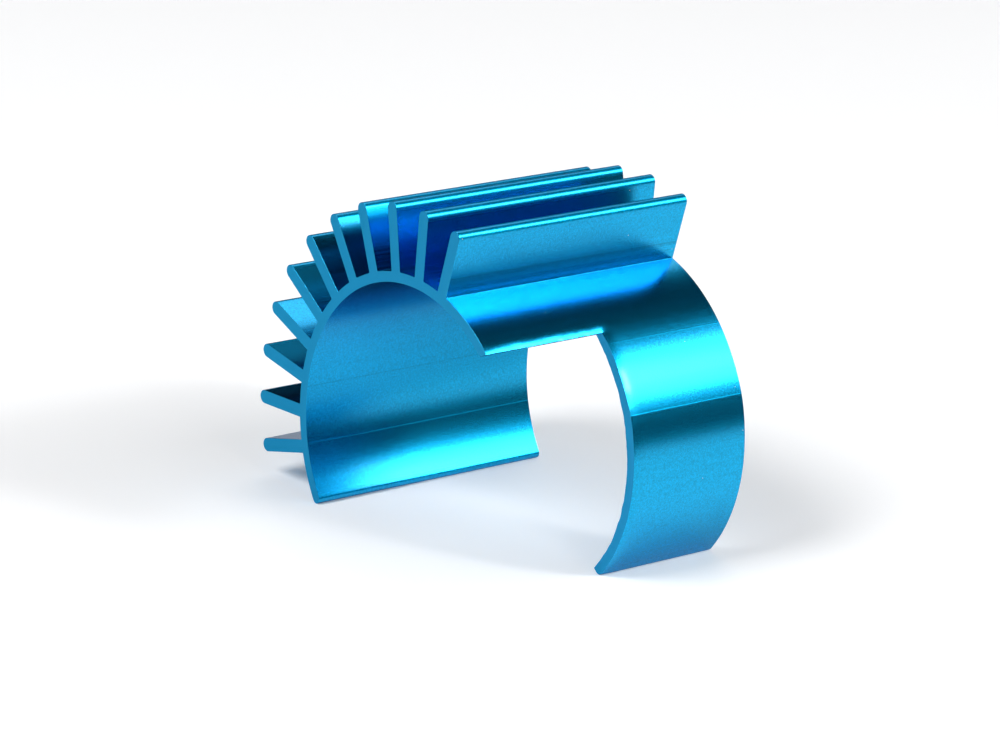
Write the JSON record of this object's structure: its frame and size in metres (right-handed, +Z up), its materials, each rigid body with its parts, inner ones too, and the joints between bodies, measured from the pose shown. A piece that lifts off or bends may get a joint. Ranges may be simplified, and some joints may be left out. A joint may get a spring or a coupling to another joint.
{
  "type": "motor heat sink",
  "caption": "Clip-on cooler for a round electric motor: an open ring of blue anodised aluminium with radial fins and a side notch, sprung on over the motor's can.",
  "frame": {"origin": "on the motor's axis, at the middle of the heat sink's length", "axes": "+Y along the motor's axis, away from the notched end; +Z up, away from the mouth, with the part standing on its two toes; +X towards the arm"},
  "size_m": [0.0456, 0.0308, 0.0381],
  "materials": {
    "anodised_aluminium": "satin blue anodised, with fine die lines along the length and matt cut ends"
  },
  "bodies": {
    "root": {"heat_sink": "anodised_aluminium"}
  },
  "joints": []
}
